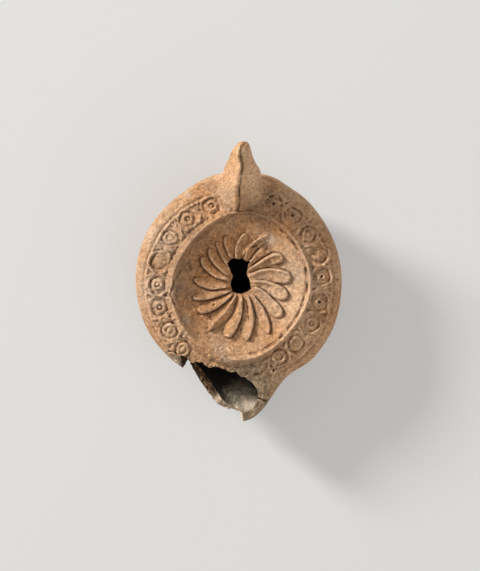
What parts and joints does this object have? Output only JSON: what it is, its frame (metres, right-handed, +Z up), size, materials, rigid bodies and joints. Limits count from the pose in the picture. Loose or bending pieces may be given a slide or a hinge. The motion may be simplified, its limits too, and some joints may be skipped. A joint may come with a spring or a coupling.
{
  "type": "roman oil lamp",
  "caption": "Mould-made clay oil lamp with a rosette on its sunk discus, a fin handle and a broken nozzle; hollow, standing on a flat base.",
  "frame": {"origin": "centre of the flat base's underside, below the middle of the round body", "axes": "+Z up from the base, +Y from the nozzle to the handle, +X to the right seen from above with the handle at the top"},
  "size_m": [0.078, 0.1051, 0.044],
  "materials": {
    "terracotta": "unglazed fired clay, matt, orange buff with grey-brown stains and soot at the nozzle"
  },
  "bodies": {
    "root": {"lamp_body": "terracotta"}
  },
  "joints": []
}
